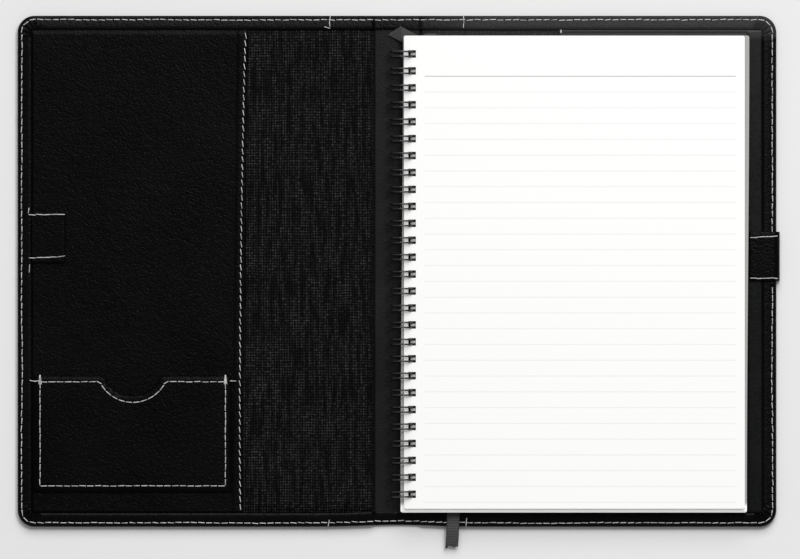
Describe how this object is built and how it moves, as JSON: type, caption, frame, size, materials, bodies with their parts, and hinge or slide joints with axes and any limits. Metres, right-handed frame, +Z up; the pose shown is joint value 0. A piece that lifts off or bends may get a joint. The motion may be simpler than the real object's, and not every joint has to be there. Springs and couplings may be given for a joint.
{
  "type": "padfolio",
  "caption": "Open padfolio with pockets, contrast stitching, a folding cover, a strap, a ribbon marker and a wire-bound ruled notepad.",
  "frame": {"origin": "on the underside at the middle of the spine, halfway up the page", "axes": "+X towards the back leaf's fore edge, +Y up the page, +Z up from the surface it lies on"},
  "size_m": [0.3817, 0.2661, 0.0157],
  "materials": {
    "leatherette": "black pebble-grained leatherette, low sheen",
    "smooth_leatherette": "black smooth leatherette, matt",
    "ribbed_lining": "black ribbed woven lining",
    "stiffener": "grey binder's board",
    "pad_board": "grey chipboard",
    "paper": "white writing paper, faint grey rules",
    "coated_wire": "black nylon-coated steel wire, satin",
    "ribbon": "charcoal grosgrain ribbon",
    "thread": "off-white bonded thread"
  },
  "bodies": {
    "back_cover": {"back_cover_skin": "leatherette", "back_board": "stiffener", "back_lining": "ribbed_lining", "back_spine_lining": "smooth_leatherette", "back_pocket_panel": "smooth_leatherette", "back_edge_stitching": "thread", "closure_strap": "leatherette", "strap_stitching": "thread", "ribbon_marker": "ribbon", "pad_backing_board": "pad_board", "page_block": "paper", "wire_binding": "coated_wire"},
    "spine": {"spine_skin": "leatherette", "spine_lining": "smooth_leatherette", "spine_edge_stitching": "thread"},
    "front_cover": {"front_cover_skin": "leatherette", "front_board": "stiffener", "front_lining": "ribbed_lining", "front_spine_lining": "smooth_leatherette", "front_pocket_panel": "leatherette", "card_pocket": "leatherette", "front_tab": "leatherette", "front_edge_stitching": "thread", "panel_hem_stitching": "thread", "card_pocket_stitching": "thread", "tab_stitching": "thread"}
  },
  "joints": [
    {"name": "spine_hinge", "type": "hinge", "parent": "back_cover", "child": "spine", "pos_m": [0.0018, 0, 0.008], "axis": [0, 1, 0], "range_deg": [0, 90]},
    {"name": "front_cover_hinge", "type": "hinge", "parent": "spine", "child": "front_cover", "pos_m": [-0.0018, 0, 0.008], "axis": [0, 1, 0], "range_deg": [0, 90]}
  ]
}
